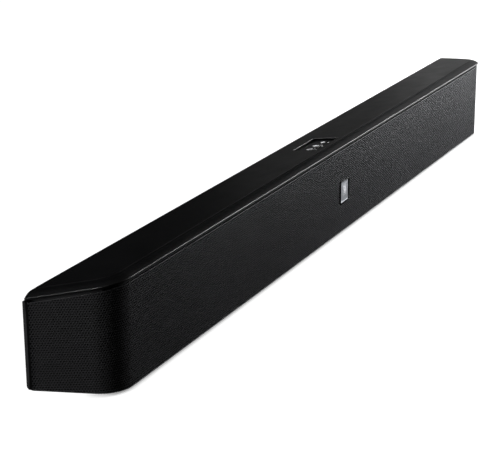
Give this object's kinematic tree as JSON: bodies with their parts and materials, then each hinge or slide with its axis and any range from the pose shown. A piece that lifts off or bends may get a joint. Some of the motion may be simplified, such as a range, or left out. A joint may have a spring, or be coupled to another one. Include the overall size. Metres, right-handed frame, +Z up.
{
  "type": "soundbar",
  "caption": "Long shallow soundbar with a wedge section, splayed rounded ends, a wrap-round perforated grille, a bevelled top cover with recessed push buttons, and rear sockets and ports.",
  "frame": {"origin": "bottom centre of the whole soundbar, on the surface that its feet stand on", "axes": "+Z up, +X along the bar towards the listener's right, -Y out of the front grille"},
  "size_m": [0.93, 0.06, 0.0901],
  "materials": {
    "housing": "fine moulded texture",
    "cover": "satin moulded",
    "baffle": "matt moulded",
    "grille": "satin black powder coat, finely perforated",
    "cloth": "woven acoustic cloth",
    "badge_frame": "gloss black",
    "badge": "satin silver",
    "control_panel": "fine moulded texture",
    "button": "soft matt",
    "light_pipe": "milky clear",
    "circuit_board": "solder mask",
    "switch": "plain",
    "basket": "pressed steel, painted",
    "magnet": "ferrite and steel",
    "cone": "coated paper",
    "surround": "soft rubber roll",
    "spider": "impregnated cloth",
    "tweeter_plate": "moulded",
    "dome": "coated silk",
    "port": "moulded",
    "wadding": "polyester wadding",
    "lead": "flexible insulation",
    "heat_sink": "extruded",
    "transformer": "laminated core and taped winding",
    "capacitor": "shrink sleeve",
    "jack_panel": "powder coated",
    "socket_plastic": "moulded",
    "socket_metal": "nickel plated",
    "insert": "knurled brass",
    "foot": "soft rubber",
    "screw": "black zinc"
  },
  "bodies": {
    "cabinet": {"rear_housing": "housing", "top_cover": "cover", "front_baffle": "baffle", "grille": "grille", "grille_cloth": "cloth", "badge_frame": "badge_frame", "badge_plate": "badge", "bulkhead_left": "baffle", "bulkhead_right": "baffle", "control_panel": "control_panel", "button_light_pipes": "light_pipe", "control_board": "circuit_board", "tact_switches": "switch", "woofer_basket_1": "basket", "woofer_basket_2": "basket", "woofer_basket_3": "basket", "woofer_basket_4": "basket", "woofer_magnet_1": "magnet", "woofer_magnet_2": "magnet", "woofer_magnet_3": "magnet", "woofer_magnet_4": "magnet", "woofer_surround_1": "surround", "woofer_surround_2": "surround", "woofer_surround_3": "surround", "woofer_surround_4": "surround", "woofer_spiders": "spider", "tweeter_plate_left": "tweeter_plate", "tweeter_plate_right": "tweeter_plate", "tweeter_magnet_left": "magnet", "tweeter_magnet_right": "magnet", "bass_port_left": "port", "bass_port_right": "port", "wadding_left": "wadding", "wadding_right": "wadding", "speaker_lead_left": "lead", "speaker_lead_right": "lead", "amp_board": "circuit_board", "heat_sink": "heat_sink", "power_board": "circuit_board", "transformer": "transformer", "capacitors": "capacitor", "jack_panel": "jack_panel", "mains_inlet": "socket_plastic", "phono_sockets": "socket_metal", "mini_socket": "socket_plastic", "optical_socket": "socket_plastic", "wall_inserts": "insert", "feet": "foot", "baffle_screws": "screw", "cover_screws": "screw", "board_screws": "screw"},
    "button_left": {"button_left": "button"},
    "button_middle": {"button_middle": "button"},
    "button_right": {"button_right": "button"},
    "woofer_cone_1": {"woofer_cone_1": "cone"},
    "woofer_cone_2": {"woofer_cone_2": "cone"},
    "woofer_cone_3": {"woofer_cone_3": "cone"},
    "woofer_cone_4": {"woofer_cone_4": "cone"},
    "tweeter_dome_left": {"tweeter_dome_left": "dome"},
    "tweeter_dome_right": {"tweeter_dome_right": "dome"}
  },
  "joints": [
    {"name": "press_button_left", "type": "slide", "parent": "cabinet", "child": "button_left", "axis": [0, -0.1483, -0.9889], "range_m": [0, 0.0008], "stiffness_N_per_m": 600},
    {"name": "press_button_middle", "type": "slide", "parent": "cabinet", "child": "button_middle", "axis": [0, -0.1483, -0.9889], "range_m": [0, 0.0008], "stiffness_N_per_m": 600},
    {"name": "press_button_right", "type": "slide", "parent": "cabinet", "child": "button_right", "axis": [0, -0.1483, -0.9889], "range_m": [0, 0.0008], "stiffness_N_per_m": 600},
    {"name": "cone_excursion_1", "type": "slide", "parent": "cabinet", "child": "woofer_cone_1", "axis": [0, -1, 0], "range_m": [-0.002, 0.002], "stiffness_N_per_m": 900},
    {"name": "cone_excursion_2", "type": "slide", "parent": "cabinet", "child": "woofer_cone_2", "axis": [0, -1, 0], "range_m": [-0.002, 0.002], "stiffness_N_per_m": 900},
    {"name": "cone_excursion_3", "type": "slide", "parent": "cabinet", "child": "woofer_cone_3", "axis": [0, -1, 0], "range_m": [-0.002, 0.002], "stiffness_N_per_m": 900},
    {"name": "cone_excursion_4", "type": "slide", "parent": "cabinet", "child": "woofer_cone_4", "axis": [0, -1, 0], "range_m": [-0.002, 0.002], "stiffness_N_per_m": 900},
    {"name": "dome_excursion_left", "type": "slide", "parent": "cabinet", "child": "tweeter_dome_left", "axis": [0, -1, 0], "range_m": [-0.0003, 0.0003], "stiffness_N_per_m": 1500},
    {"name": "dome_excursion_right", "type": "slide", "parent": "cabinet", "child": "tweeter_dome_right", "axis": [0, -1, 0], "range_m": [-0.0003, 0.0003], "stiffness_N_per_m": 1500}
  ]
}
